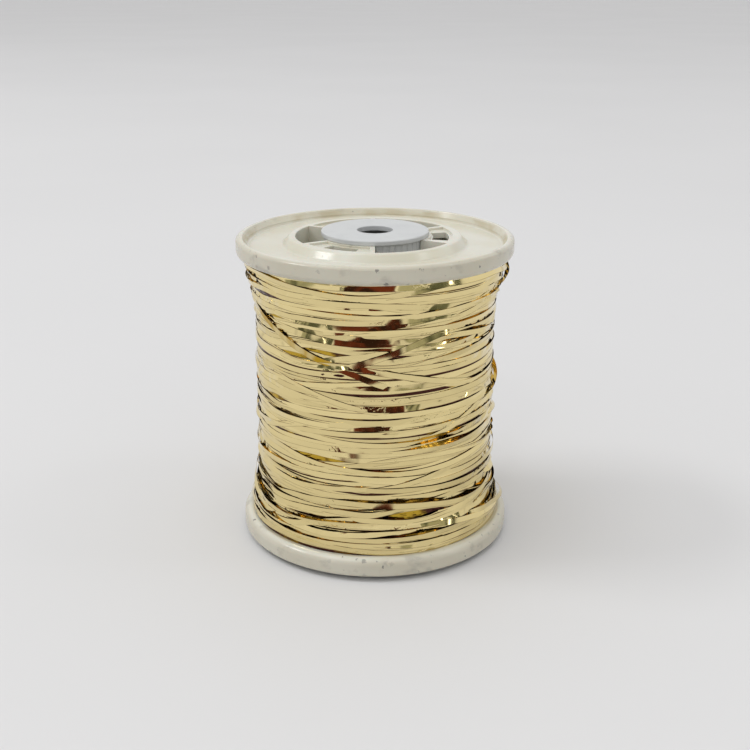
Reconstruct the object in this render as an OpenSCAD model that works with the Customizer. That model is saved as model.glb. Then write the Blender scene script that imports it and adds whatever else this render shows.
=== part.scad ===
// Flanged plastic spool of flat metallic foil thread, with a push-in bore adapter at each end.
// Millimetres, +Z up, origin on the surface it stands on, at the spool's axis.

/* [Spool] */
// Outside diameter of both flanges
flange_d = 80; // [72:0.5:90]
// Length over the crests of the two rims
spool_h = 89; // [80:0.5:110]
// Height of a flange's rim
rim_h = 5.5; // [5:0.1:7]
// Depth of the flange's dish below the rim's crest
dish_depth = 2.6; // [2:0.1:3]
// Outside diameter of the barrel that the foil is wound on
barrel_d = 52; // [50:0.5:54]

/* [Hub] */
// Diameter of the opening inside the raised collar
hub_open_d = 45.8; // [45:0.1:46.5]
// Diameter of the bore that the three box spokes leave
hub_bore_d = 29.56; // [29:0.02:30]
// How far the collar's top lies below the rim's crest
collar_drop = 0.2; // [0:0.05:0.5]
// Axial depth of the spokes and of the spigot
hub_depth = 18; // [14:0.5:24]
// Thickness of the hub's walls
hub_wall = 1.4; // [1.2:0.1:1.8]

/* [Adapters] */
// Diameter of the adapter's disc
disc_d = 31; // [30.5:0.1:33]
// Thickness of the adapter's disc
disc_t = 1.4; // [1.2:0.1:2]
// Diameter of the spindle hole
spindle_d = 10.3; // [6:0.1:12]
// Length of the adapter's sleeve below its disc
sleeve_len = 15; // [8:0.5:18]
// Number of flutes round the sleeve
flutes = 48; // [24:6:60]

/* [Foil] */
// Radius of the wound foil at its waist
waist_r = 35.4; // [30:0.1:36]
// How much further the foil stands out at the flanges
flare = 2.5; // [1:0.1:2.6]
// Axial length over which the foil flares out
flare_len = 8; // [5:0.5:12]
// Length of the tape that holds the foil's first turn
tape_len = 22; // [15:1:30]

/* [Hidden] */
$fn = 96;

fit_gap = 0.05;          // clearance between the spigots and the barrel
slip_gap = 0.08;         // radial clearance of the adapter's sleeve in the bore
skin_gap = 0.1;          // clearance of the foil from the flanges
overlap = 1;             // how far cutters run past the solids that they cut

rim_r = flange_d / 2;
crest_r = rim_r - 1.6;   // radius of the rim's crest
lip_r = rim_r - 2.4;     // radius where the rim's face meets the underside
dish_r = rim_r - 3.8;    // radius where the dish's floor ends
hub_open_r = hub_open_d / 2;
hub_bore_r = hub_bore_d / 2;
spigot_r = hub_open_r + hub_wall;
collar_foot_r = hub_open_r + 4.3;
shoulder_h = 1.1;        // how far the rim's shoulder drops from the crest to the outer face
underside_h = 1.9;       // how far the outer face curls in to the underside
proud = disc_t - collar_drop;            // how far a disc stands out past the rim's crest
lower_crest_z = proud;
upper_crest_z = proud + spool_h;
total_h = spool_h + 2 * proud;
barrel_z = lower_crest_z + rim_h;
barrel_len = spool_h - 2 * rim_h;
sleeve_r = hub_bore_r - slip_gap;
sleeve_wall = 1.6;
spoke_count = 3;
spoke_half_angle = 30;
recess_depth = 0.65;     // step from a spoke's border down to its floor
recess_floor = 1.6;      // thickness of that floor
pocket_half_angle = 14.5;
tape_t = 0.15;
tape_w = 12;
foil_core_r = barrel_d / 2 + 0.3;        // the foil's inner radius, over the barrel and the tape

// Points along a circular arc, from one angle to another
function arc(centre, r, from, to, steps) =
    [for (i = [0:steps]) let (a = from + (to - from) * i / steps) centre + r * [cos(a), sin(a)]];

// Points along an elliptical arc, for the rim's rolled face
function ellipse_arc(centre, rx, ry, from, to, steps) =
    [for (i = [0:steps]) let (a = from + (to - from) * i / steps) centre + [rx * cos(a), ry * sin(a)]];

// Half section of a flange, with the rim's crest at z = 0 and the spigot pointing down
function flange_section() = concat(
    [[hub_open_r, -hub_depth], [spigot_r - 0.5, -hub_depth], [spigot_r, -hub_depth + 0.5]],
    [[spigot_r, -rim_h], [lip_r, -rim_h]],
    ellipse_arc([lip_r, -rim_h + underside_h], rim_r - lip_r, underside_h, -80, 0, 8),
    ellipse_arc([crest_r, -shoulder_h], rim_r - crest_r, shoulder_h, 0, 90, 8),
    arc([crest_r, -0.5], 0.5, 100, 170, 4),
    arc([dish_r, -dish_depth + 0.9], 0.9, 0, -90, 5),
    arc([collar_foot_r, -dish_depth + 1.2], 1.2, -90, -138, 4),
    arc([hub_open_r + 1.3, -collar_drop - 1], 1, 42, 90, 5),
    arc([hub_open_r + 0.3, -collar_drop - 0.3], 0.3, 90, 180, 3));

// Sector between two radii, symmetric about +X
module sector(r_in, r_out, half_angle) {
    intersection() {
        difference() {
            circle(r = r_out);
            circle(r = r_in);
        }
        polygon([[0, 0], 3 * r_out * [cos(half_angle), -sin(half_angle)],
                 3 * r_out * [1, 0], 3 * r_out * [cos(half_angle), sin(half_angle)]]);
    }
}

// Plan of a spoke's inside, one wall's thickness in from its faces
module spoke_inside() {
    shift = hub_wall / sin(spoke_half_angle);
    intersection() {
        translate([shift, 0]) sector(0.01, hub_open_r, spoke_half_angle);
        sector(hub_bore_r + hub_wall, hub_open_r - 0.6, spoke_half_angle);
    }
}

// One box spoke: bordered top with a recessed floor, a pocket through it, and a cored underside
module spoke() {
    top = -collar_drop;
    difference() {
        translate([0, 0, -hub_depth])
            linear_extrude(hub_depth + top) sector(hub_bore_r, hub_open_r + hub_wall / 2, spoke_half_angle);
        translate([0, 0, top - recess_depth]) linear_extrude(recess_depth + overlap) spoke_inside();
        translate([0, 0, -hub_depth - overlap])
            linear_extrude(hub_depth + overlap + top - recess_depth - recess_floor) spoke_inside();
        translate([0, 0, -hub_depth])
            linear_extrude(hub_depth + overlap)
                sector(hub_bore_r + hub_wall + 0.5, hub_open_r - 1.6, pocket_half_angle);
    }
}

// A whole flange, crest at z = 0
module flange() {
    rotate_extrude() polygon(flange_section());
    for (i = [0:spoke_count - 1]) rotate(i * 360 / spoke_count) spoke();
}

// Half section of an adapter, with the disc's outer face at z = 0
function adapter_section() = concat(
    [[spindle_d / 2, -disc_t], [sleeve_r - sleeve_wall, -disc_t]],
    [[sleeve_r - sleeve_wall, -disc_t - sleeve_len], [sleeve_r - 0.6, -disc_t - sleeve_len]],
    [[sleeve_r, -disc_t - sleeve_len + 1.2], [sleeve_r, -disc_t]],
    arc([disc_d / 2 - 0.25, -disc_t + 0.25], 0.25, -90, 0, 3),
    arc([disc_d / 2 - 0.35, -0.35], 0.35, 0, 90, 4),
    arc([spindle_d / 2 + 0.2, -0.2], 0.2, 90, 180, 2));

// Push-in bore adapter: a disc with the spindle hole, and a fluted sleeve
module adapter() {
    difference() {
        rotate_extrude() polygon(adapter_section());
        for (i = [0:flutes - 1]) rotate(i * 360 / flutes)
            translate([sleeve_r + 0.25, 0, -disc_t - sleeve_len - overlap])
                cylinder(r = 0.45, h = sleeve_len + overlap - 0.3, $fn = 24);
    }
}

// Radius of the wound foil at a distance from the nearer flange
function foil_r(s) = waist_r + flare * exp(-pow(s / flare_len, 2));

module upper_flange() {
    color("ivory") translate([0, 0, upper_crest_z]) flange();
}

module lower_flange() {
    color("ivory") translate([0, 0, lower_crest_z]) rotate([180, 0, 0]) flange();
}

module barrel() {
    color("ivory") translate([0, 0, barrel_z]) difference() {
        cylinder(d = barrel_d, h = barrel_len);
        translate([0, 0, -overlap]) cylinder(r = spigot_r + fit_gap, h = barrel_len + 2 * overlap);
    }
}

module upper_adapter() {
    color("silver") translate([0, 0, total_h]) adapter();
}

module lower_adapter() {
    color("silver") rotate([180, 0, 0]) adapter();
}

// The wound foil as one closed solid, waisted between the flanges
module foil_winding() {
    length = barrel_len - 2 * skin_gap;
    steps = 40;
    outer = [for (i = [0:steps]) let (z = length * i / steps) [foil_r(min(z, length - z)), z]];
    color("khaki") translate([0, 0, barrel_z + skin_gap])
        rotate_extrude() polygon(concat([[foil_core_r, 0]], outer, [[foil_core_r, length]]));
}

// Tape patch that holds the foil's first turn on the barrel
module start_tape() {
    half_angle = tape_len / barrel_d * 180 / PI;
    color("lightyellow") translate([0, 0, barrel_z + barrel_len / 2 - tape_w / 2]) rotate(90)
        linear_extrude(tape_w) sector(barrel_d / 2 + 0.02, barrel_d / 2 + 0.02 + tape_t, half_angle);
}

upper_flange();
lower_flange();
barrel();
upper_adapter();
lower_adapter();
foil_winding();
start_tape();
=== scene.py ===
"""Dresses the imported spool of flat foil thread: its plastics, its wound foil and its studio."""

import logging
import math
from dataclasses import dataclass, field
from enum import Enum

import bpy
import numpy as np
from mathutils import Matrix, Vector


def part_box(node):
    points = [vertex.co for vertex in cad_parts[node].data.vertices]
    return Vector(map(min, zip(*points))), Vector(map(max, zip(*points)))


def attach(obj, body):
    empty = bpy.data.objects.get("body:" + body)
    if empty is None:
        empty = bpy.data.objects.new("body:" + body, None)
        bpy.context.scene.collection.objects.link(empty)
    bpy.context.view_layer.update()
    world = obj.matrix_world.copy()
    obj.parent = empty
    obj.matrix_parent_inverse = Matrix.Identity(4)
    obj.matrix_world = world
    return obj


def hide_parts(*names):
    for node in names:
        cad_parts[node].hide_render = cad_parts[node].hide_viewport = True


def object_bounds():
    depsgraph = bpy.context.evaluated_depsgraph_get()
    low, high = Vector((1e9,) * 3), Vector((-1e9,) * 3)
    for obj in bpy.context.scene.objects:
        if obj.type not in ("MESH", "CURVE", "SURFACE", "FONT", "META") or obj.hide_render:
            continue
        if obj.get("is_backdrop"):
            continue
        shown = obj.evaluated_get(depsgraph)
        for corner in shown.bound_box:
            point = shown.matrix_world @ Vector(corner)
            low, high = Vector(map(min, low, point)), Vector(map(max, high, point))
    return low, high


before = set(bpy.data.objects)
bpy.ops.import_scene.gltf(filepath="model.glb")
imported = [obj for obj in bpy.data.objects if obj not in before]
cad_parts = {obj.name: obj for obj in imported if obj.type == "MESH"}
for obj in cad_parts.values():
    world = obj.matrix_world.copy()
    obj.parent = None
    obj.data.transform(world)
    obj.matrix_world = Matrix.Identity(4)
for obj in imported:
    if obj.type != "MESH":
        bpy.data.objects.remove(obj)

LOG = logging.getLogger("spool")
MM = 0.001
TONE = "tone"
ACROSS = "across"
Colour = tuple[float, float, float]
Span = tuple[float, float]
Socket = bpy.types.NodeSocket


# ---------------------------------------------------------------- material helpers


class Sum(Enum):
    """The ways in which a node works out a value from others."""

    PLUS = "ADD"
    TAKE = "SUBTRACT"
    TIMES = "MULTIPLY"
    TIMES_PLUS = "MULTIPLY_ADD"
    LEAST = "MINIMUM"
    SIZE = "ABSOLUTE"
    OVER = "GREATER_THAN"
    UNDER = "LESS_THAN"
    LENGTH = "LENGTH"


@dataclass(frozen=True)
class Grain:
    """A noise that lies on the object: grains to a metre, finer octaves, and a squeeze on each axis."""

    scale: float
    detail: float = 2.0
    squeeze: Colour = (1, 1, 1)


@dataclass(frozen=True)
class Patches:
    """Soft patches: where a grain rises from a low level to a high one."""

    grain: Grain
    low: float
    high: float


class NodeSheet:
    """A material's node tree, with the few calls that fill it."""

    def __init__(self, name: str) -> None:
        """Starts an empty material.

        Args:
            name: the material's name.
        """
        self.material = bpy.data.materials.new(name)
        self.material.use_nodes = True
        self.tree = self.material.node_tree
        self.tree.nodes.clear()
        self.shader = self.add("ShaderNodeBsdfPrincipled")
        self.surface = self.add("ShaderNodeOutputMaterial").inputs["Surface"]
        self.join(self.shader.outputs["BSDF"], self.surface)
        self.place = self.add("ShaderNodeTexCoord").outputs["Object"]

    def add(self, kind: str, **settings: object) -> bpy.types.Node:
        """Adds a node.

        Args:
            kind: Blender's name for the node type.
            **settings: properties to set on it.

        Returns:
            The new node.
        """
        node = self.tree.nodes.new(kind)
        for key, value in settings.items():
            setattr(node, key, value)
        return node

    def join(self, source: Socket, target: Socket) -> None:
        """Links two sockets."""
        self.tree.links.new(source, target)

    def put(self, value: object, target: Socket) -> None:
        """Feeds a socket from a link or a plain value.

        Args:
            value: a socket, a number or a tuple of numbers.
            target: the socket to feed.
        """
        if isinstance(value, Socket):
            self.join(value, target)
        else:
            target.default_value = value

    def feed(self, name: str, value: object) -> None:
        """Feeds one of the shader's own sockets."""
        self.put(value, self.shader.inputs[name])

    def mark(self, name: str) -> Socket:
        """Reads a value that the mesh carries at each corner."""
        return self.add("ShaderNodeAttribute", attribute_name=name).outputs["Fac"]

    def maths(self, how: Sum, *values: object) -> Socket:
        """Works out a number from others.

        Args:
            how: the way in which it is worked out.
            *values: sockets or numbers.

        Returns:
            The socket that holds the result.
        """
        node = self.add("ShaderNodeMath", operation=how.value)
        for target, value in zip(node.inputs, values):
            self.put(value, target)
        return node.outputs[0]

    def vector(self, how: Sum, *values: object) -> bpy.types.Node:
        """Works out a vector, or its length, from others.

        Args:
            how: the way in which it is worked out.
            *values: sockets or triples of numbers.

        Returns:
            The node, with the result in its Vector or Value output.
        """
        node = self.add("ShaderNodeVectorMath", operation=how.value)
        for target, value in zip(node.inputs, values):
            self.put(value, target)
        return node

    def between(self, share: Socket, low: float, high: float) -> Socket:
        """Runs from low to high as a share runs from 0 to 1."""
        return self.maths(Sum.PLUS, self.maths(Sum.TIMES, share, high - low), low)

    def grain(self, grain: Grain) -> Socket:
        """Makes a noise value that lies on the object.

        Args:
            grain: how fine and how squeezed the noise is.

        Returns:
            The noise, from 0 to 1.
        """
        mapping = self.add("ShaderNodeMapping")
        self.put(grain.squeeze, mapping.inputs["Scale"])
        self.put(self.place, mapping.inputs["Vector"])
        noise = self.add("ShaderNodeTexNoise")
        self.put(grain.scale, noise.inputs["Scale"])
        self.put(grain.detail, noise.inputs["Detail"])
        self.put(mapping.outputs["Vector"], noise.inputs["Vector"])
        return noise.outputs["Fac"]

    def band(self, value: Socket, low: float, high: float) -> Socket:
        """Turns a value into a soft mask.

        Args:
            value: the value to read.
            low: where the mask is 0.
            high: where the mask is 1, above or below low.

        Returns:
            The mask, from 0 to 1.
        """
        node = self.add("ShaderNodeMapRange", interpolation_type="SMOOTHSTEP")
        self.put(value, node.inputs["Value"])
        self.put(min(low, high), node.inputs["From Min"])
        self.put(max(low, high), node.inputs["From Max"])
        self.put(0.0 if low < high else 1.0, node.inputs["To Min"])
        self.put(1.0 if low < high else 0.0, node.inputs["To Max"])
        return node.outputs["Result"]

    def patches(self, patches: Patches) -> Socket:
        """Makes a mask of soft patches that lie on the object."""
        return self.band(self.grain(patches.grain), patches.low, patches.high)

    def blend(self, share: object, under: object, over: object) -> Socket:
        """Mixes two colours.

        Args:
            share: how much of the second colour shows.
            under: the first colour, or its socket.
            over: the second colour, or its socket.

        Returns:
            The mixed colour.
        """
        node = self.add("ShaderNodeMix", data_type="RGBA")
        self.put(share, node.inputs["Factor"])
        for target, value in ((node.inputs[6], under), (node.inputs[7], over)):
            self.put((*value, 1.0) if isinstance(value, tuple) else value, target)
        return node.outputs[2]

    def relief(self, height: Socket, depth: float, strength: float = 1.0) -> None:
        """Gives the shader a bump from a height value.

        Args:
            height: the height, from 0 to 1.
            depth: how far 0 to 1 stands for, in metres.
            strength: how much of it shows.
        """
        bump = self.add("ShaderNodeBump")
        self.put(strength, bump.inputs["Strength"])
        self.put(depth, bump.inputs["Distance"])
        self.put(height, bump.inputs["Height"])
        self.feed("Normal", bump.outputs["Normal"])


# ---------------------------------------------------------------- finishes


@dataclass(frozen=True)
class Specks:
    """Small dark specks: how close they lie, how big, dark and ragged they are, and how rare."""

    scale: float = 520.0
    least: float = 0.035
    biggest: float = 0.355
    strength: float = 0.85
    ragged_scale: float = 1500.0
    ragged: float = 1.6 * MM
    clean_hub: float = 0.96
    clean_rim: float = 0.54


@dataclass(frozen=True)
class MouldedPlastic:
    """Glossy moulded plastic that has yellowed a little, with dirt specks and smears, a yellower tint in
    the corner by the rim, and painted shade on the rim's outer face.
    """

    name: str
    colour: Colour
    aged_colour: Colour
    dirt_colour: Colour = (0.16, 0.15, 0.14)
    # the yellower, darker tint of the corner between the dish and the rim
    corner_tint_colour: Colour = (0.50, 0.44, 0.30)
    # painted shade: the darker, yellower colour of the rim's upright outer face
    face_shade_colour: Colour = (0.535, 0.50, 0.40)
    # where the rim begins, for the specks, the smears, the corner tint and the painted face shade
    rim_radius: float = 36.2 * MM
    rim_blend: float = 3.0 * MM
    outer_face: Span = (2.4 * MM, 3.6 * MM)
    corner_offset: float = 1.1 * MM
    corner_blend: Span = (0.9 * MM, 0.3 * MM)
    ageing: Patches = Patches(Grain(38, 3), 0.42, 0.66)
    # patches in which the painted shade on the outer face is stronger or weaker
    shade_patches: Patches = Patches(Grain(60, 3), 0.3, 0.7)
    shade_share: Span = (0.65, 0.95)
    # patches of the corner tint
    corner_patches: Patches = Patches(Grain(110, 4, (1, 1, 2)), 0.40, 0.66)
    corner_patch_share: Span = (0.25, 0.85)
    smudges: Patches = Patches(Grain(150, 5, (1, 1, 1.6)), 0.56, 0.74)
    smudge_share: float = 0.30
    darkest_mark: float = 0.85
    speckling: Specks = Specks()
    scuffs: Grain = Grain(420, 3, (1, 1, 3))
    roughness: Span = (0.11, 0.27)
    mark_roughness: float = 0.3
    refraction: float = 1.5
    glow: float = 0.06
    glow_depth: float = 2.0 * MM
    skin: Grain = Grain(160)
    pores: Grain = Grain(900)
    pore_share: float = 0.35
    skin_depth: float = 0.008 * MM

    def build(self) -> bpy.types.Material:
        """Builds the material.

        Returns:
            The finished material.
        """
        sheet = NodeSheet(self.name)
        base = sheet.blend(sheet.patches(self.ageing), self.colour, self.aged_colour)
        # a yellower, darker tint in the corner between the dish and the rim, in patches
        base = sheet.blend(self.corner_tint(sheet), base, self.corner_tint_colour)
        # painted shade on the rim's upright outer face
        base = sheet.blend(self.face_shade(sheet), base, self.face_shade_colour)
        marks = sheet.maths(Sum.PLUS, self.specks(sheet), self.smears(sheet))
        marks = sheet.maths(Sum.LEAST, marks, self.darkest_mark)
        sheet.feed("Base Color", sheet.blend(marks, base, self.dirt_colour))
        rough = sheet.between(sheet.grain(self.scuffs), *self.roughness)
        marked = sheet.maths(Sum.TIMES, marks, self.mark_roughness)
        sheet.feed("Roughness", sheet.maths(Sum.PLUS, rough, marked))
        sheet.feed("IOR", self.refraction)
        sheet.feed("Subsurface Weight", self.glow)
        sheet.feed("Subsurface Scale", self.glow_depth)
        pores = sheet.maths(Sum.TIMES, sheet.grain(self.pores), self.pore_share)
        sheet.relief(sheet.maths(Sum.PLUS, sheet.grain(self.skin), pores), self.skin_depth)
        return sheet.material

    def radius(self, sheet: NodeSheet) -> Socket:
        """Finds how far a point is from the axis."""
        flat = sheet.vector(Sum.TIMES, sheet.place, (1.0, 1.0, 0.0))
        return sheet.vector(Sum.LENGTH, flat.outputs["Vector"]).outputs["Value"]

    def rim_share(self, sheet: NodeSheet) -> Socket:
        """Finds how close a point is to the rim: 0 at the hub, 1 at the rim."""
        return sheet.band(self.radius(sheet), self.rim_radius, self.rim_radius + self.rim_blend)

    def face_shade(self, sheet: NodeSheet) -> Socket:
        """Finds where shade is painted on the rim's upright outer face, in patches.

        Args:
            sheet: the material's nodes.

        Returns:
            The share of painted shade.
        """
        # painted shade: a band over the outer face, mottled in patches
        start, end = (self.rim_radius + step for step in self.outer_face)
        face = sheet.band(self.radius(sheet), start, end)
        return sheet.maths(Sum.TIMES, face, sheet.between(sheet.patches(self.shade_patches), *self.shade_share))

    def corner_tint(self, sheet: NodeSheet) -> Socket:
        """Finds where the corner between the dish and the rim is tinted yellower and darker, in patches.

        Args:
            sheet: the material's nodes.

        Returns:
            The share of tinted plastic.
        """
        # a band round the corner between the dish and the rim
        past = sheet.maths(Sum.TAKE, self.radius(sheet), self.rim_radius + self.corner_offset)
        corner = sheet.band(sheet.maths(Sum.SIZE, past), *self.corner_blend)
        return sheet.maths(Sum.TIMES, corner, sheet.between(sheet.patches(self.corner_patches), *self.corner_patch_share))

    def specks(self, sheet: NodeSheet) -> Socket:
        """Scatters small dark specks, most of them on the rim.

        Args:
            sheet: the material's nodes.

        Returns:
            The share of dirt.
        """
        kind = self.speckling
        wobble = sheet.add("ShaderNodeTexNoise")
        sheet.put(kind.ragged_scale, wobble.inputs["Scale"])
        sheet.put(sheet.place, wobble.inputs["Vector"])
        moved = sheet.vector(Sum.TIMES_PLUS, wobble.outputs["Color"], (kind.ragged,) * 3, sheet.place)
        cells = sheet.add("ShaderNodeTexVoronoi")
        sheet.put(kind.scale, cells.inputs["Scale"])
        sheet.put(moved.outputs["Vector"], cells.inputs["Vector"])
        draws = sheet.add("ShaderNodeSeparateColor")
        sheet.put(cells.outputs["Color"], draws.inputs[0])
        chance, size, dark = draws.outputs
        clean = sheet.between(self.rim_share(sheet), kind.clean_hub, kind.clean_rim)
        chosen = sheet.maths(Sum.OVER, chance, clean)
        radius = sheet.between(size, kind.least, kind.biggest)
        near = sheet.maths(Sum.UNDER, cells.outputs["Distance"], radius)
        spot = sheet.maths(Sum.TIMES, chosen, near)
        return sheet.maths(Sum.TIMES, spot, sheet.maths(Sum.TIMES, dark, kind.strength))

    def smears(self, sheet: NodeSheet) -> Socket:
        """Makes faint grey smears along the rim."""
        smeared = sheet.maths(Sum.TIMES, sheet.patches(self.smudges), self.rim_share(sheet))
        return sheet.maths(Sum.TIMES, smeared, self.smudge_share)


@dataclass(frozen=True)
class SatinPlastic:
    """Cool grey plastic with a fine satin skin."""

    name: str
    colour: Colour
    shade: Colour
    clouds: Patches = Patches(Grain(120, 4), 0.35, 0.7)
    sheen: Grain = Grain(700, 3)
    roughness: Span = (0.35, 0.49)
    skin: Grain = Grain(2600, 3)
    skin_depth: float = 0.02 * MM
    skin_strength: float = 0.7

    def build(self) -> bpy.types.Material:
        """Builds the material.

        Returns:
            The finished material.
        """
        sheet = NodeSheet(self.name)
        sheet.feed("Base Color", sheet.blend(sheet.patches(self.clouds), self.colour, self.shade))
        sheet.feed("Roughness", sheet.between(sheet.grain(self.sheen), *self.roughness))
        sheet.relief(sheet.grain(self.skin), self.skin_depth, self.skin_strength)
        return sheet.material


@dataclass(frozen=True)
class MirrorFoil:
    """Metallised film: a pale gold mirror with painted shade along its slit edges, painted amber
    reflections on some strips, and crinkled patches.
    """

    name: str
    colour: Colour = (0.885, 0.735, 0.37)
    shade: Colour = (0.74, 0.605, 0.295)
    # painted shade: the dark line along each strip's edge, where neighbouring strips meet
    edge_shade_colour: Colour = (0.22, 0.14, 0.06)
    # painted reflection: the amber of light bounced between gold faces, on the strips of darkest tone
    amber: Colour = (0.52, 0.32, 0.03)
    amber_tone: Span = (0.9, 1.0)
    # patches in which the painted amber reflection shows
    amber_patches: Patches = Patches(Grain(150, 3, (1, 1, 0.5)), 0.34, 0.56)
    edge_share: Span = (0.07, 0.021)
    # patches in which the painted edge shade shows or fades
    edge_shade_patches: Patches = Patches(Grain(90, 2, (1, 1, 4)), 0.36, 0.54)
    sheen: Grain = Grain(260, 3)
    roughness: Span = (0.04, 0.12)
    pattern_shift: float = 0.3
    crumple: Patches = Patches(Grain(75), 0.56, 0.66)
    creases: Grain = Grain(800)
    crease_share: float = 0.15
    waves: Grain = Grain(70, 1)
    wave_depth: float = 1.7 * MM

    def build(self) -> bpy.types.Material:
        """Builds the material.

        Returns:
            The finished material.
        """
        sheet = NodeSheet(self.name)
        tone = sheet.mark(TONE)
        body = sheet.blend(tone, self.colour, self.shade)
        # painted amber reflection on the strips of darkest tone, in patches
        amber_share = sheet.maths(Sum.TIMES, sheet.band(tone, *self.amber_tone), sheet.patches(self.amber_patches))
        body = sheet.blend(amber_share, body, self.amber)
        # painted shade along the strip's edges
        sheet.feed("Base Color", sheet.blend(self.edge_shade(sheet), body, self.edge_shade_colour))
        sheet.feed("Metallic", 1.0)
        sheet.feed("Roughness", sheet.between(sheet.grain(self.sheen), *self.roughness))
        self.shuffle(sheet, tone)
        creased = sheet.maths(Sum.TIMES, sheet.patches(self.crumple), self.crease_share)
        creases = sheet.maths(Sum.TIMES, sheet.grain(self.creases), creased)
        sheet.relief(sheet.maths(Sum.PLUS, creases, sheet.grain(self.waves)), self.wave_depth)
        return sheet.material

    def edge_shade(self, sheet: NodeSheet) -> Socket:
        """Finds where shade is painted along the strip's slit edges, for the dark crevices between
        neighbouring strips.

        Args:
            sheet: the material's nodes.

        Returns:
            The share of painted edge shade.
        """
        across = sheet.mark(ACROSS)
        to_edge = sheet.maths(Sum.LEAST, across, sheet.maths(Sum.TAKE, 1.0, across))
        return sheet.maths(Sum.TIMES, sheet.band(to_edge, *self.edge_share), sheet.patches(self.edge_shade_patches))

    def shuffle(self, sheet: NodeSheet, tone: Socket) -> None:
        """Moves the pattern along with the strip's tone, so that no two turns carry the same dents.

        Args:
            sheet: the material's nodes.
            tone: the strip's tone.
        """
        shift = sheet.add("ShaderNodeCombineXYZ")
        sheet.put(sheet.maths(Sum.TIMES, tone, self.pattern_shift), shift.inputs["Z"])
        sheet.place = sheet.vector(Sum.PLUS, sheet.place, shift.outputs["Vector"]).outputs["Vector"]


@dataclass(frozen=True)
class PackedFoil:
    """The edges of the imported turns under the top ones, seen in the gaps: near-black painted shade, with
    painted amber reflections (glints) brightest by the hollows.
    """

    name: str
    # painted shade: the near black of the deep gaps between strips
    dark: Colour = (0.065, 0.024, 0.018)
    # painted reflection: the amber of light bounced between gold faces
    amber: Colour = (0.54, 0.35, 0.04)
    clouds: Grain = Grain(120, 3, (1, 1, 2))
    # how much more of the painted amber reflection shows by the hollows
    hollow_glow: float = 0.22
    glints: Span = (0.55, 0.72)
    roughness: float = 0.16
    ridges: Grain = Grain(300, 1, (1, 1, 3))
    ridge_depth: float = 0.5 * MM

    def build(self) -> bpy.types.Material:
        """Builds the material.

        Returns:
            The finished material.
        """
        sheet = NodeSheet(self.name)
        bright = sheet.maths(Sum.TIMES, sheet.mark(TONE), self.hollow_glow)
        cloud = sheet.maths(Sum.PLUS, sheet.grain(self.clouds), bright)
        # painted shade in the gaps, broken by painted amber reflections
        sheet.feed("Base Color", sheet.blend(sheet.band(cloud, *self.glints), self.dark, self.amber))
        sheet.feed("Metallic", 1.0)
        sheet.feed("Roughness", self.roughness)
        sheet.relief(sheet.grain(self.ridges), self.ridge_depth)
        return sheet.material


@dataclass(frozen=True)
class ClearTape:
    """Pale adhesive tape, slightly yellow, with a fine weave of pressed air."""

    name: str
    colour: Colour = (0.80, 0.74, 0.52)
    shade: Colour = (0.70, 0.62, 0.40)
    clouds: Patches = Patches(Grain(500, 3), 0.4, 0.65)
    roughness: float = 0.3
    weave: Grain = Grain(1500)
    weave_depth: float = 0.03 * MM

    def build(self) -> bpy.types.Material:
        """Builds the material.

        Returns:
            The finished material.
        """
        sheet = NodeSheet(self.name)
        sheet.feed("Base Color", sheet.blend(sheet.patches(self.clouds), self.colour, self.shade))
        sheet.feed("Roughness", self.roughness)
        sheet.relief(sheet.grain(self.weave), self.weave_depth)
        return sheet.material


# ---------------------------------------------------------------- mesh helpers


def link(name: str, mesh: bpy.types.Mesh) -> bpy.types.Object:
    """Puts a mesh into the scene.

    Args:
        name: the object's name.
        mesh: its mesh.

    Returns:
        The new object.
    """
    thing = bpy.data.objects.new(name, mesh)
    bpy.context.scene.collection.objects.link(thing)
    return thing


def panel(name: str, size: Span, material: bpy.types.Material) -> bpy.types.Object:
    """Makes a flat rectangle that lies round the origin.

    Args:
        name: the object's name.
        size: its width and its height.
        material: what it is made of.

    Returns:
        The new object.
    """
    w, h = size[0] / 2, size[1] / 2
    mesh = bpy.data.meshes.new(name)
    mesh.from_pydata([(-w, -h, 0), (w, -h, 0), (w, h, 0), (-w, h, 0)], [], [(0, 1, 2, 3)])
    mesh.materials.append(material)
    return link(name, mesh)


def foil_piece(name: str, corners: np.ndarray, faces: list, marks: dict[str, np.ndarray],
               material: bpy.types.Material, sharp: float) -> bpy.types.Object:
    """Makes a smooth piece of foil.

    Args:
        name: the piece's name.
        corners: its points.
        faces: the corners of each face.
        marks: the values that its corners carry, by name.
        material: what it is made of.
        sharp: the angle, in degrees, from which an edge stays sharp.

    Returns:
        The new object, linked to the scene.
    """
    mesh = bpy.data.meshes.new(name)
    mesh.from_pydata(corners.tolist(), [], faces)
    for label, values in marks.items():
        layer = mesh.attributes.new(label, "FLOAT", "POINT")
        layer.data.foreach_set("value", np.asarray(values, np.float32))
    mesh.materials.append(material)
    mesh.shade_smooth()
    mesh.set_sharp_from_angle(angle=math.radians(sharp))
    mesh.update()
    return link(name, mesh)


def smoothstep(t: np.ndarray) -> np.ndarray:
    """Eases 0 to 1 in and out."""
    return t * t * (3 - 2 * t)


def drift(rng: np.random.Generator, count: int, knot_every: float) -> np.ndarray:
    """Makes a slow random wander.

    Args:
        rng: the source of the random knots.
        count: how many samples are wanted.
        knot_every: how many samples lie between knots.

    Returns:
        The wander, with a spread of about 1 about 0.
    """
    knots = rng.standard_normal(int(count / knot_every) + 3)
    where = np.arange(count) / knot_every
    whole = where.astype(int)
    share = smoothstep(where - whole)
    return knots[whole] * (1 - share) + knots[whole + 1] * share


# ---------------------------------------------------------------- the wound foil


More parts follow.
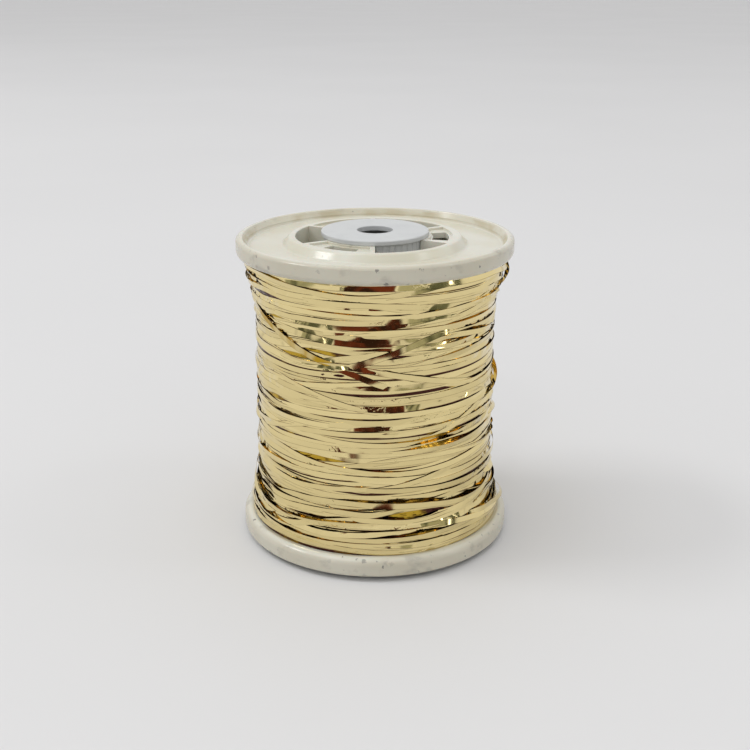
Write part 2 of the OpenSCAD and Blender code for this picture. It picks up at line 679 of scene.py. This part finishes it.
@dataclass
class Ribbon:
    """A stretch of the strip: its two long edges, how its middle bows, and its outward direction."""

    low: np.ndarray
    high: np.ndarray
    bow: np.ndarray
    out: np.ndarray
    tone: np.ndarray

    def rows(self, film: float) -> np.ndarray:
        """Lists the six points of the strip's closed section at each step.

        Args:
            film: how thick the strip is.

        Returns:
            The points, step by step.
        """
        middle = (self.low + self.high) / 2 + self.out * self.bow[:, None]
        top = np.stack([self.low, middle, self.high], axis=1)
        return np.concatenate([top, top[:, ::-1] - self.out[:, None] * film], axis=1)


@dataclass
class RibbonMesh:
    """Ribbons gathered into one mesh, each closed and as thin as the film."""

    film: float
    sharp: float = 50.0
    section: tuple[float, ...] = (0.0, 0.5, 1.0, 1.0, 0.5, 0.0)
    corners: list[np.ndarray] = field(default_factory=list)
    faces: list[list[int]] = field(default_factory=list)
    tone: list[float] = field(default_factory=list)
    across: list[float] = field(default_factory=list)

    def take(self, ribbon: Ribbon) -> None:
        """Adds a ribbon as a closed strip of the film's thickness.

        Args:
            ribbon: the ribbon to add.
        """
        sides = len(self.section)
        start = len(self.corners) * sides
        count = len(ribbon.low)
        self.corners.extend(ribbon.rows(self.film))
        self.tone.extend(np.repeat(ribbon.tone, sides))
        self.across.extend(np.tile(self.section, count))
        first = start + sides * np.arange(count - 1)
        for side in range(sides):
            after = (side + 1) % sides
            ring = (first + side, first + side + sides, first + after + sides, first + after)
            self.faces.extend(np.stack(ring, axis=1).tolist())
        last = start + sides * (count - 1)
        self.faces.append([start + side for side in range(sides)])
        self.faces.append([last + side for side in reversed(range(sides))])

    def build(self, name: str, material: bpy.types.Material) -> bpy.types.Object:
        """Makes the Blender object.

        Args:
            name: the piece's name.
            material: what it is made of.

        Returns:
            The new object, linked to the scene.
        """
        corners = np.array(self.corners).reshape(-1, 3)
        marks = {TONE: self.tone, ACROSS: self.across}
        return foil_piece(name, corners, self.faces, marks, material, self.sharp)


@dataclass(frozen=True)
class Traverse:
    """One run of the strip from flange to flange, and how loosely it was laid."""

    pitch: float
    wander: float
    lift: float
    tilt: float


@dataclass(frozen=True)
class Unevenness:
    """How unevenly a hand-fed strip lies. Knots are the turns from one random value to the next."""

    quick_sway: float = 0.45
    quick_sway_knots: float = 0.17
    slow_sway_knots: float = 1.1
    lift_knots: float = 0.11
    crumple_knots: float = 0.12
    crumple_from: float = 1.0
    lean_knots: float = 0.11
    crumple_lean: float = 1.3
    crumple_lean_steps: float = 4.0
    most_lean: float = 28.0
    bow: float = 0.014 * MM
    bow_knots: float = 0.05
    crumple_bow: float = 0.06 * MM
    crumple_bow_steps: float = 2.0
    tone: float = 0.4
    tone_spread: float = 0.3
    tone_knots: float = 0.5
    darkest_tone: float = 0.85


@dataclass(frozen=True)
class LooseStrand:
    """A stretch of strip that stands off the winding. Angles run from the front towards +X."""

    from_angle: float
    to_angle: float
    from_height: float
    to_height: float
    lift: float
    twist: float = 0.0
    lean: float = 0.0
    tone: float = 0.4

    def hides(self, angle: float, height: float, margin: float = 1.9 * MM) -> bool:
        """Tells whether the strand would pass over a place on the winding.

        Args:
            angle: the place's angle, in degrees.
            height: the place's height.
            margin: how near counts as over.

        Returns:
            True when it does.
        """
        share = (angle - self.from_angle) % 360 / (self.to_angle - self.from_angle)
        passes = self.from_height + (self.to_height - self.from_height) * share
        return share < 1 and abs(passes - height) < margin


@dataclass(frozen=True)
class Crossings:
    """The strands that cross the turns at a slant: how many, and the range of each of their sizes."""

    count: int = 40
    span: Span = (35.0, 95.0)
    rise: Span = (2.0 * MM, 9.0 * MM)
    lift: Span = (0.0, 0.15 * MM)
    lean: Span = (-15.0, 8.0)
    twist: Span = (-6.0, 6.0)


@dataclass(frozen=True)
class Hollow:
    """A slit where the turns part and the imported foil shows. The angle runs from the front towards +X."""

    angle: float
    height: float
    half_length: float
    half_gap: float
    slope: float = 0.0
    # how strongly the imported foil in the slit carries the painted amber reflection
    amber: float = 1.0

    def place(self, angle: np.ndarray, height: np.ndarray, radius: float) -> tuple[np.ndarray, np.ndarray]:
        """Finds where points lie from the slit.

        Args:
            angle: each point's angle, in radians.
            height: each point's height.
            radius: the winding's radius.

        Returns:
            How far along the slit, as a share of its half length, and how far above it.
        """
        turn = (angle - math.radians(self.angle) + math.pi) % (2 * math.pi) - math.pi
        along = turn * radius
        return along / self.half_length, height - self.height - along * self.slope


@dataclass
class FoilWinding:
    """The wound foil: a packed bed, one long strip laid over it turn by turn, and loose strands."""

    # the winding's shape, and the strip
    inner: float = 26.3 * MM
    waist: float = 35.4 * MM
    flare: float = 2.5 * MM
    flare_length: float = 8.0 * MM
    strip_width: float = 1.6 * MM
    film: float = 0.035 * MM
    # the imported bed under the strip
    bed_depth: float = 0.75 * MM
    bed_rows: int = 156
    bed_sides: int = 360
    bed_sharp: float = 40.0
    # how far round each hollow the painted amber reflection reaches, in gap widths
    amber_reach: float = 3.0
    # how finely the strip is laid: steps to a turn, height bins, and samples over its width
    steps: int = 240
    bin_size: float = 0.1 * MM
    smoothing: int = 15
    feelers: int = 9
    half_feelers: int = 6
    laid_rows: int = 17
    taut_passes: int = 30
    turn_ahead: int = 10
    steepest_tilt: float = 13.0
    # the loose strands: samples to a degree, and how their ends tuck in
    strand_steps: float = 1.2
    fewest_steps: int = 24
    strand_smoothing: int = 9
    strand_tuck: float = 0.25 * MM
    strand_rise: float = 0.35 * MM
    strand_fullness: float = 0.8
    # what was laid, and where the turns part
    seed: int = 15
    unevenness: Unevenness = Unevenness()
    traverses: tuple[Traverse, ...] = (
        Traverse(1.85 * MM, 0.45 * MM, 0.05 * MM, 3.0),
        Traverse(2.8 * MM, 1.8 * MM, 0.10 * MM, 8.0),
        Traverse(3.6 * MM, 2.6 * MM, 0.14 * MM, 10.5),
        Traverse(8.0 * MM, 3.8 * MM, 0.18 * MM, 11.0),
    )
    crossings: Crossings = Crossings()
    strands: tuple[LooseStrand, ...] = (
        LooseStrand(70, 116, 77.5 * MM, 83.2 * MM, 1.5 * MM, 10, 48),
        LooseStrand(64, 106, 46.0 * MM, 51.5 * MM, 0.9 * MM, 10, 40),
        LooseStrand(72, 110, 39.5 * MM, 37.5 * MM, 0.8 * MM, 10, -35),
        LooseStrand(20, 88, 14.2 * MM, 10.4 * MM, 0.5 * MM, 4, -25),
        LooseStrand(30, 76, 16.8 * MM, 19.4 * MM, 0.25 * MM, 0, -8),
        # tone 1.0 gives this strand the painted amber reflection
        LooseStrand(-84, -10, 73.5 * MM, 61.0 * MM, 0.42 * MM, 6, 3, 1.0),
        LooseStrand(-24, 40, 60.4 * MM, 70.0 * MM, 0.38 * MM, 4, -9, 0.4),
        LooseStrand(-24, 76, 61.4 * MM, 52.0 * MM, 0.30 * MM, 0, -3),
        LooseStrand(-10, 84, 70.0 * MM, 76.5 * MM, 0.22 * MM, 0, 3),
        LooseStrand(48, 112, 13.6 * MM, 9.6 * MM, 1.3 * MM, 25, -20),
        LooseStrand(-104, -66, 21.5 * MM, 14.5 * MM, 0.9 * MM, 10, -14),
        LooseStrand(-108, -74, 39.5 * MM, 37.0 * MM, 0.7 * MM, 20),
    )
    hollows: tuple[Hollow, ...] = (
        Hollow(-36, 62.8 * MM, 12.0 * MM, 0.70 * MM, -0.14),
        Hollow(-26, 65.0 * MM, 15.0 * MM, 0.30 * MM, -0.16),
        Hollow(6, 64.0 * MM, 7.0 * MM, 0.50 * MM, 0.22, 0.4),
        Hollow(-53, 48.4 * MM, 3.6 * MM, 0.75 * MM, -0.05),
        Hollow(-30, 34.0 * MM, 12.0 * MM, 0.60 * MM, -0.14),
        Hollow(20, 17.6 * MM, 14.0 * MM, 0.95 * MM, 0.20, 0.7),
        Hollow(-53, 20.8 * MM, 4.5 * MM, 0.60 * MM, -0.1, 0.7),
        Hollow(-58, 78.0 * MM, 7.0 * MM, 0.50 * MM, -0.2, 0.3),
        Hollow(-52, 72.0 * MM, 6.0 * MM, 0.45 * MM, -0.1, 0.5),
        Hollow(62, 80.0 * MM, 6.0 * MM, 0.35 * MM, 0.1, 0.2),
        Hollow(66, 13.6 * MM, 6.0 * MM, 0.55 * MM, 0.1, 0.8),
        Hollow(140, 40.0 * MM, 9.0 * MM, 0.60 * MM, 0.1),
        Hollow(178, 64.0 * MM, 8.0 * MM, 0.50 * MM, -0.12),
        Hollow(205, 24.0 * MM, 10.0 * MM, 0.60 * MM, 0.1, 0.8),
        Hollow(235, 52.0 * MM, 7.0 * MM, 0.50 * MM, 0.15, 0.6),
    )

    def __post_init__(self) -> None:
        """Reads the winding's place from the frame and lays out the bare bed's radii."""
        low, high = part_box("foil_winding")
        self.floor_z, self.top_z = low.z, high.z
        self.rng = np.random.default_rng(self.seed)
        self.bins = int((self.top_z - self.floor_z) / self.bin_size) + 2
        heights = self.floor_z + self.bin_size * np.arange(self.bins)
        self.reach = np.tile(self.profile(heights) - self.bed_depth, (self.steps, 1))

    def profile(self, height: np.ndarray) -> np.ndarray:
        """The winding's outer radius at a height: waisted, and flared at the flanges."""
        near = np.minimum(height - self.floor_z, self.top_z - height)
        return self.waist + self.flare * np.exp(-((near / self.flare_length) ** 2))

    def rows(self, height: np.ndarray) -> np.ndarray:
        """Finds the height bins that some heights fall in."""
        return np.clip(((height - self.floor_z) / self.bin_size).astype(int), 0, self.bins - 1)

    def wander(self, count: int, knots: float) -> np.ndarray:
        """Makes a random wander along the strip, with its knots some turns apart."""
        return drift(self.rng, count, self.steps * knots)

    def route(self) -> tuple[np.ndarray, np.ndarray]:
        """Lays out the strip's whole path.

        Returns:
            The strip's height at each step, and the number of the traverse it belongs to.
        """
        heights, owner = [], []
        low, high = self.floor_z + self.strip_width / 2, self.top_z - self.strip_width / 2
        uneven = self.unevenness
        for number, run in enumerate(self.traverses):
            climb = np.linspace(low, high, int((high - low) / run.pitch * self.steps))
            if number % 2:
                climb = climb[::-1]
            climb = np.pad(climb, self.steps // 2, mode="edge")
            count = len(climb)
            sway = self.wander(count, uneven.quick_sway_knots) * uneven.quick_sway
            sway = sway + self.wander(count, uneven.slow_sway_knots)
            heights.append(np.clip(climb + run.wander * sway, low, high))
            owner.append(np.full(count, number))
        joined = self.part(np.concatenate(heights))
        kernel = np.hanning(self.smoothing) / np.hanning(self.smoothing).sum()
        padded = np.pad(joined, self.smoothing // 2, mode="edge")
        return np.convolve(padded, kernel, mode="valid"), np.concatenate(owner)

    def part(self, height: np.ndarray) -> np.ndarray:
        """Parts the turns round each hollow.

        Args:
            height: the strip's middle at each step.

        Returns:
            The same heights, with the strip pushed off the hollows.
        """
        angle = 2 * math.pi / self.steps * np.arange(len(height))
        for hollow in self.hollows:
            share, above = hollow.place(angle, height, self.waist)
            inside = np.flatnonzero(np.abs(share) < 1)
            for run in np.split(inside, np.flatnonzero(np.diff(inside) > 1) + 1):
                middle = above[run[len(run) // 2]]
                reach = (hollow.half_gap + self.strip_width / 2) * (1 - share[run] ** 2)
                shift = np.sqrt(middle**2 + reach**2) - abs(middle)
                height[run] += math.copysign(1, middle) * shift
        return height

    def support(self, where: np.ndarray, height: np.ndarray) -> tuple[np.ndarray, np.ndarray]:
        """Finds what lies under the strip's lower and upper half.

        Args:
            where: the angular step of each sample.
            height: the strip's middle at each sample.

        Returns:
            The radius that each half has to clear.
        """
        offsets = np.linspace(-0.5, 0.5, self.feelers) * self.strip_width
        under = self.reach[where[:, None], self.rows(height[:, None] + offsets)]
        low, high = under[:, :self.half_feelers], under[:, -self.half_feelers:]
        return low.max(axis=1), high.max(axis=1)

    def stretch(self, under: np.ndarray, before: float | None) -> np.ndarray:
        """Pulls the strip taut over what lies under it.

        Args:
            under: the radius to clear at each sample.
            before: the strip's radius just before the first sample, if it has one.

        Returns:
            The strip's radius at each sample.
        """
        bend = math.cos(2 * math.pi / self.steps)
        radius = under.copy()
        for _ in range(self.taut_passes):
            left = np.concatenate([[radius[0] if before is None else before], radius[:-1]])
            right = np.concatenate([radius[1:], radius[-1:]])
            radius = np.maximum(under, (left + right) / 2 * bend)
        return radius

    def lay(self, height: np.ndarray) -> tuple[np.ndarray, np.ndarray]:
        """Lays the strip turn by turn, each turn over what is there.

        Args:
            height: the strip's middle at each step.

        Returns:
            The radii of the strip's lower and upper edge at each step.
        """
        count = len(height)
        low_r, high_r = np.empty(count), np.empty(count)
        ahead = self.steps // self.turn_ahead
        limit = math.tan(math.radians(self.steepest_tilt)) * self.strip_width
        share = np.linspace(0, 1, self.laid_rows)
        offsets = np.linspace(-0.5, 0.5, self.laid_rows) * self.strip_width
        for start in range(0, count, self.steps):
            end = min(start + self.steps, count)
            span = np.arange(start, min(end + ahead, count))
            low_under, high_under = self.support(span % self.steps, height[span])
            low = self.stretch(low_under, low_r[start - 1] if start else None)
            high = self.stretch(high_under, high_r[start - 1] if start else None)
            low, high = np.maximum(low, high - limit), np.maximum(high, low - limit)
            turn = span[:end - start]
            low_r[turn] = low[:len(turn)] + self.film
            high_r[turn] = high[:len(turn)] + self.film
            laid = low_r[turn][:, None] * (1 - share) + high_r[turn][:, None] * share
            where, rows = (turn % self.steps)[:, None], self.rows(height[turn][:, None] + offsets)
            self.reach[where, rows] = np.maximum(self.reach[where, rows], laid)
        return low_r, high_r

    def wind(self) -> list[Ribbon]:
        """Winds the whole strip, with its slack, twist, bow and tone.

        Returns:
            The ribbon of each traverse.
        """
        height, owner = self.route()
        count, uneven = len(height), self.unevenness
        lift = np.array([run.lift for run in self.traverses])[owner]
        tilt = np.array([run.tilt for run in self.traverses])[owner]
        stand_off = np.clip(self.wander(count, uneven.lift_knots), 0, None) ** 2 * lift
        crumpled = np.clip(self.wander(count, uneven.crumple_knots) - uneven.crumple_from, 0, 1)
        lean = self.wander(count, uneven.lean_knots)
        lean += uneven.crumple_lean * crumpled * drift(self.rng, count, uneven.crumple_lean_steps)
        lean = np.clip(tilt * lean, -uneven.most_lean, uneven.most_lean)
        twist = np.tan(np.radians(lean)) * self.strip_width
        bow = uneven.bow * self.wander(count, uneven.bow_knots)
        bow += uneven.crumple_bow * crumpled * drift(self.rng, count, uneven.crumple_bow_steps)
        tone = uneven.tone + uneven.tone_spread * self.wander(count, uneven.tone_knots)
        tone = np.clip(tone, 0, uneven.darkest_tone)
        low_r, high_r = self.lay(height)
        low_r += stand_off + np.maximum(0, -twist)
        high_r += stand_off + np.maximum(0, twist)
        whole = self.ribbon(height, low_r, high_r, bow, tone)
        return [self.cut(whole, np.flatnonzero(owner == number)) for number in range(len(self.traverses))]

    def ribbon(self, height: np.ndarray, low_r: np.ndarray, high_r: np.ndarray,
               bow: np.ndarray, tone: np.ndarray) -> Ribbon:
        """Turns the strip's path into one ribbon.

        Args:
            height: the strip's middle at each step.
            low_r: the lower edge's radius at each step.
            high_r: the upper edge's radius at each step.
            bow: how far the film's middle stands out at each step.
            tone: the film's shade at each step.

        Returns:
            The ribbon.
        """
        angle = 2 * math.pi / self.steps * np.arange(len(height))
        slope = np.gradient(height) / (2 * math.pi / self.steps * self.waist)
        along = 1 / np.sqrt(1 + slope**2)
        half = self.strip_width / 2
        swing = slope * along * half / self.waist
        low = self.points(angle + swing, height - along * half, low_r)
        high = self.points(angle - swing, height + along * half, high_r)
        out = self.points(angle, np.zeros_like(angle), np.ones_like(angle))
        return Ribbon(low, high, bow, out, tone)

    @staticmethod
    def cut(whole: Ribbon, mine: np.ndarray) -> Ribbon:
        """Cuts one traverse out of the whole strip, with a step more to meet the next one.

        Args:
            whole: the whole strip.
            mine: the steps that belong to the traverse.

        Returns:
            The traverse's ribbon.
        """
        span = slice(mine[0], mine[-1] + 2)
        return Ribbon(whole.low[span], whole.high[span], whole.bow[span], whole.out[span], whole.tone[span])

    @staticmethod
    def points(angle: np.ndarray, height: np.ndarray, radius: np.ndarray) -> np.ndarray:
        """Turns angles from the front, heights and radii into points."""
        return np.stack([radius * np.sin(angle), -radius * np.cos(angle), height], axis=1)

    def cross(self) -> list[LooseStrand]:
        """Scatters strands that cross the turns at a slant, close to the winding.

        Returns:
            The strands.
        """
        strands = []
        kind, margin = self.crossings, 2 * self.strip_width
        low, high = self.floor_z + margin, self.top_z - margin
        for number in range(kind.count):
            start = 360 * (number + self.rng.uniform(-0.5, 0.5)) / kind.count
            span = self.rng.uniform(*kind.span)
            rise = self.rng.choice((-1, 1)) * self.rng.uniform(*kind.rise)
            middle = self.rng.uniform(low, high)
            ends = np.clip((middle - rise / 2, middle + rise / 2), low, high)
            lift, lean = self.rng.uniform(*kind.lift), self.rng.uniform(*kind.lean)
            twist = self.rng.uniform(*kind.twist)
            strand = LooseStrand(start, start + span, ends[0], ends[1], lift, twist, lean)
            if not any(strand.hides(hollow.angle, hollow.height) for hollow in self.hollows):
                strands.append(strand)
        return strands

    def arch(self, strand: LooseStrand, share: np.ndarray) -> np.ndarray:
        """Runs a strand's middle out of the winding, over it and back in.

        Args:
            strand: where it runs and how far it stands off.
            share: how far along the strand each sample is, from 0 to 1.

        Returns:
            The middle's points.
        """
        angle = np.radians(strand.from_angle + (strand.to_angle - strand.from_angle) * share)
        height = strand.from_height + (strand.to_height - strand.from_height) * smoothstep(share)
        step = (angle / (2 * math.pi) * self.steps).astype(int) % self.steps
        under = np.maximum(self.reach[step, self.rows(height)], *self.support(step, height))
        padded = np.pad(under, self.strand_smoothing // 2, mode="edge")
        kernel = np.ones(self.strand_smoothing) / self.strand_smoothing
        base = np.convolve(padded, kernel, mode="valid") - self.strand_tuck
        rise = (self.strand_rise + strand.lift) * np.sin(math.pi * share) ** self.strand_fullness
        return self.points(angle, height, base + rise)

    def loose(self, strand: LooseStrand) -> Ribbon:
        """Makes one strand that stands off the winding.

        Args:
            strand: where it runs and how it stands.

        Returns:
            The strand's ribbon.
        """
        span = abs(strand.to_angle - strand.from_angle)
        count = max(self.fewest_steps, int(span * self.strand_steps))
        share = np.linspace(0, 1, count)
        middle = self.arch(strand, share)
        ahead = np.gradient(middle, axis=0)
        ahead /= np.linalg.norm(ahead, axis=1)[:, None]
        out = middle * (1, 1, 0)
        out /= np.linalg.norm(out, axis=1)[:, None]
        across = np.cross(out, ahead)
        across /= np.linalg.norm(across, axis=1)[:, None]
        face = np.cross(ahead, across)
        turn = np.radians(strand.lean + strand.twist * np.sin(2 * math.pi * share))[:, None]
        side = across * np.cos(turn) + face * np.sin(turn)
        side *= np.where(side[:, 2:3] < 0, -1, 1)
        outward = np.cross(ahead, side)
        outward *= np.where((outward * out).sum(axis=1) < 0, -1, 1)[:, None]
        half = side * self.strip_width / 2
        return Ribbon(middle - half, middle + half, np.zeros(count), outward, np.full(count, strand.tone))

    def bed(self, material: bpy.types.Material) -> bpy.types.Object:
        """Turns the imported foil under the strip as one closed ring.

        Args:
            material: what it is made of.

        Returns:
            The new object.
        """
        heights = np.linspace(self.floor_z, self.top_z, self.bed_rows)
        radii = np.append(self.profile(heights) - self.bed_depth, (self.inner, self.inner))
        heights = np.append(heights, (self.top_z, self.floor_z))
        count, sides = len(heights), self.bed_sides
        angle = np.repeat(2 * math.pi * np.arange(sides) / sides, count)
        corners = self.points(angle, np.tile(heights, sides), np.tile(radii, sides))
        faces = []
        for side in range(sides):
            here, there = side * count, (side + 1) % sides * count
            for i in range(count):
                j = (i + 1) % count
                faces.append((here + i, there + i, there + j, here + j))
        # the painted amber reflection of the imported foil, strongest in the hollows
        amber = np.zeros(len(corners))
        for hollow in self.hollows:
            share, above = hollow.place(angle, corners[:, 2], self.waist)
            near = np.exp(-(share**4) - (above / (self.amber_reach * hollow.half_gap)) ** 4)
            amber = np.maximum(amber, near * hollow.amber)
        return foil_piece("foil_bed", corners, faces, {TONE: amber}, material, self.bed_sharp)

    def build(self) -> list[bpy.types.Object]:
        """Builds every foil piece and ties it to the spool.

        Returns:
            The pieces.
        """
        foil = MirrorFoil("gold_foil_strip").build()
        pieces = [self.bed(PackedFoil("packed_foil").build())]
        for number, ribbon in enumerate(self.wind(), 1):
            gathered = RibbonMesh(self.film)
            gathered.take(ribbon)
            pieces.append(gathered.build(f"foil_traverse_{number}", foil))
        gathered = RibbonMesh(self.film)
        for strand in (*self.cross(), *self.strands):
            gathered.take(self.loose(strand))
        pieces.append(gathered.build("foil_loose_strands", foil))
        for piece in pieces:
            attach(piece, "spool")
        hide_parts("foil_winding")
        return pieces


# ---------------------------------------------------------------- the moulded pieces


@dataclass
class Mouldings:
    """The plastic pieces, which keep their CAD shapes and get their finishes."""

    cream: MouldedPlastic = MouldedPlastic("cream_moulding", (0.69, 0.68, 0.595), (0.65, 0.625, 0.51))
    grey: SatinPlastic = SatinPlastic("grey_satin", (0.582, 0.596, 0.598), (0.545, 0.56, 0.565))
    tape: ClearTape = ClearTape("start_tape_film")

    def dress(self) -> None:
        """Gives each CAD piece its material."""
        finishes = {
            self.cream: ("upper_flange", "lower_flange", "barrel"),
            self.grey: ("upper_adapter", "lower_adapter"),
            self.tape: ("start_tape",),
        }
        for finish, names in finishes.items():
            material = finish.build()
            for name in names:
                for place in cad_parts[name].material_slots:
                    place.material = material
                LOG.info("%s: %s", name, material.name)


# ---------------------------------------------------------------- the studio


@dataclass(frozen=True)
class Lamp:
    """A soft rectangular lamp that points at the object."""

    name: str
    turn: float
    rise: float
    distance: float
    size: Span
    power: float


@dataclass(frozen=True)
class Card:
    """A card that only the foil sees, in its reflections."""

    name: str
    turn: float
    rise: float
    distance: float
    size: Span
    colour: Colour
    shade: Colour
    ragged: float
    feather: float = 0.025
    clouds: Patches = Patches(Grain(9, 3), 0.40, 0.62)
    tears: Grain = Grain(14, 4)

    def paint(self) -> bpy.types.Material:
        """Mottles the card and tears its edges.

        Returns:
            The card's material.
        """
        sheet = NodeSheet(self.name)
        glow = sheet.add("ShaderNodeEmission")
        sheet.put(sheet.blend(sheet.patches(self.clouds), self.colour, self.shade), glow.inputs["Color"])
        mix = sheet.add("ShaderNodeMixShader")
        sheet.put(self.whole(sheet), mix.inputs[0])
        sheet.put(sheet.add("ShaderNodeBsdfTransparent").outputs[0], mix.inputs[1])
        sheet.put(glow.outputs[0], mix.inputs[2])
        sheet.put(mix.outputs[0], sheet.surface)
        sheet.tree.nodes.remove(sheet.shader)
        return sheet.material

    def whole(self, sheet: NodeSheet) -> Socket:
        """Finds where the card is left whole inside its torn edges.

        Args:
            sheet: the material's nodes.

        Returns:
            The share of card: 0 outside it, 1 inside it.
        """
        split = sheet.add("ShaderNodeSeparateXYZ")
        sheet.put(sheet.place, split.inputs[0])
        inner = []
        for axis, width in zip(("X", "Y"), self.size):
            off_middle = sheet.maths(Sum.SIZE, split.outputs[axis])
            inner.append(sheet.maths(Sum.TAKE, width / 2, off_middle))
        bite = sheet.maths(Sum.TIMES, sheet.grain(self.tears), self.ragged)
        margin = sheet.maths(Sum.TAKE, sheet.maths(Sum.LEAST, *inner), bite)
        return sheet.band(margin, 0.0, self.feather)


@dataclass(frozen=True)
class FloorPaint:
    """Matt pale paint with hardly any mottling."""

    name: str
    colour: Colour = (0.70, 0.70, 0.705)
    paler: float = 1.02
    clouds: Patches = Patches(Grain(3, 3), 0.3, 0.7)
    roughness: float = 0.6
    shine: float = 0.2

    def build(self) -> bpy.types.Material:
        """Builds the material.

        Returns:
            The finished material.
        """
        sheet = NodeSheet(self.name)
        paler = tuple(value * self.paler for value in self.colour)
        sheet.feed("Base Color", sheet.blend(sheet.patches(self.clouds), self.colour, paler))
        sheet.feed("Roughness", self.roughness)
        sheet.feed("Specular IOR Level", self.shine)
        return sheet.material


@dataclass
class Studio:
    """The plain floor, the soft light and the camera."""

    lens: float = 54.34
    sensor: float = 36.0
    view_shift: float = -0.06
    near_and_far: Span = (0.01, 60.0)
    camera_back: float = 319.6 * MM
    camera_height: float = 160.8 * MM
    camera_dip: float = 17.33
    floor_size: float = 60.0
    floor_paint: FloorPaint = FloorPaint("floor_paint")
    sky_colour: Colour = (0.828, 0.824, 0.824)
    sky_strength: float = 0.925
    lamps: tuple[Lamp, ...] = (
        Lamp("front_lamp", -14, 42, 1.8, (0.14, 0.14), 1.1),
        Lamp("side_lamp", 84, 50, 2.0, (0.30, 0.30), 1.2),
        Lamp("overhead_lamp", 0, 82, 1.2, (0.60, 0.60), 0.8),
        Lamp("window_lamp", -89, 48, 3.0, (0.90, 0.60), 16.0),
        Lamp("ceiling_lamp", -75, 68, 3.0, (1.3, 1.0), 8.0),
    )
    cards: tuple[Card, ...] = (
        Card("dark_card", -5, 14, 0.34, (0.36, 0.29), (0.145, 0.036, 0.021), (0.03, 0.014, 0.011), 0.06),
        Card("left_card", -53, 13, 0.40, (0.46, 0.29), (0.40, 0.41, 0.34), (0.09, 0.10, 0.075), 0.09),
        Card("right_card", 49, 13, 0.40, (0.50, 0.29), (0.40, 0.41, 0.34), (0.10, 0.11, 0.08), 0.09),
        Card("left_glint", -37, 12, 0.32, (0.034, 0.11), (7.0, 7.0, 7.0), (5.0, 5.0, 5.0), 0.02, 0.006),
        Card("right_glint", 66, 14, 0.36, (0.060, 0.15), (6.0, 6.0, 5.8), (4.0, 4.0, 4.0), 0.03, 0.006),
        Card("right_window", 94, 37, 0.60, (0.60, 0.26), (1.9, 1.9, 1.8), (1.5, 1.5, 1.4), 0.02),
    )

    def aim(self, thing: bpy.types.Object, at: Lamp | Card) -> None:
        """Stands a thing round the object and points it at the object's middle.

        Args:
            thing: the Blender object of the lamp or card.
            at: its turn from the front towards +X and its rise, in degrees, and its distance.
        """
        low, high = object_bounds()
        turn, rise = math.radians(at.turn), math.radians(at.rise)
        flat = math.cos(rise)
        away = Vector((math.sin(turn) * flat, -math.cos(turn) * flat, math.sin(rise)))
        thing.location = (low + high) / 2 + away * at.distance
        thing.rotation_euler = (-away).to_track_quat("-Z", "Y").to_euler()

    def place_camera(self) -> None:
        """Sets up the camera."""
        data = bpy.data.cameras.new("camera")
        data.lens = self.lens
        data.sensor_width = self.sensor
        data.shift_y = self.view_shift
        data.clip_start, data.clip_end = self.near_and_far
        camera = bpy.data.objects.new("camera", data)
        bpy.context.scene.collection.objects.link(camera)
        camera.location = (0.0, -self.camera_back, self.camera_height)
        camera.rotation_euler = (math.radians(90 - self.camera_dip), 0.0, 0.0)
        bpy.context.scene.camera = camera

    def lay_floor(self) -> None:
        """Lays the plain pale floor."""
        panel("floor", (self.floor_size, self.floor_size), self.floor_paint.build())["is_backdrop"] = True

    def hang_card(self, card: Card) -> None:
        """Hangs one card, unseen by the camera and casting no shadow.

        Args:
            card: the card to hang.
        """
        thing = panel(card.name, card.size, card.paint())
        self.aim(thing, card)
        thing.visible_camera = False
        thing.visible_shadow = False
        thing.visible_diffuse = False
        thing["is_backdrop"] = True

    def hang_lamp(self, lamp: Lamp) -> None:
        """Hangs one soft lamp.

        Args:
            lamp: the lamp to hang.
        """
        data = bpy.data.lights.new(lamp.name, "AREA")
        data.shape = "RECTANGLE"
        data.size, data.size_y = lamp.size
        data.energy = lamp.power
        thing = bpy.data.objects.new(lamp.name, data)
        bpy.context.scene.collection.objects.link(thing)
        self.aim(thing, lamp)

    def fill_sky(self) -> None:
        """Fills the room with even pale light."""
        world = bpy.data.worlds.new("room")
        bpy.context.scene.world = world
        world.use_nodes = True
        back = world.node_tree.nodes["Background"]
        back.inputs["Color"].default_value = (*self.sky_colour, 1.0)
        back.inputs["Strength"].default_value = self.sky_strength

    def build(self) -> None:
        """Builds the whole studio."""
        bpy.context.scene.view_settings.view_transform = "Standard"
        self.place_camera()
        self.fill_sky()
        self.lay_floor()
        for lamp in self.lamps:
            self.hang_lamp(lamp)
        for card in self.cards:
            self.hang_card(card)
        LOG.info("studio: %d lamps and %d cards", len(self.lamps), len(self.cards))


def main() -> None:
    """Builds the studio, the mouldings and the foil."""
    logging.basicConfig(level=logging.INFO, format="%(name)s %(message)s")
    bpy.context.view_layer.update()
    Studio().build()
    Mouldings().dress()
    for piece in FoilWinding().build():
        LOG.info("%s: %d faces", piece.name, len(piece.data.polygons))
    bpy.context.view_layer.update()


if __name__ == "__main__":
    main()
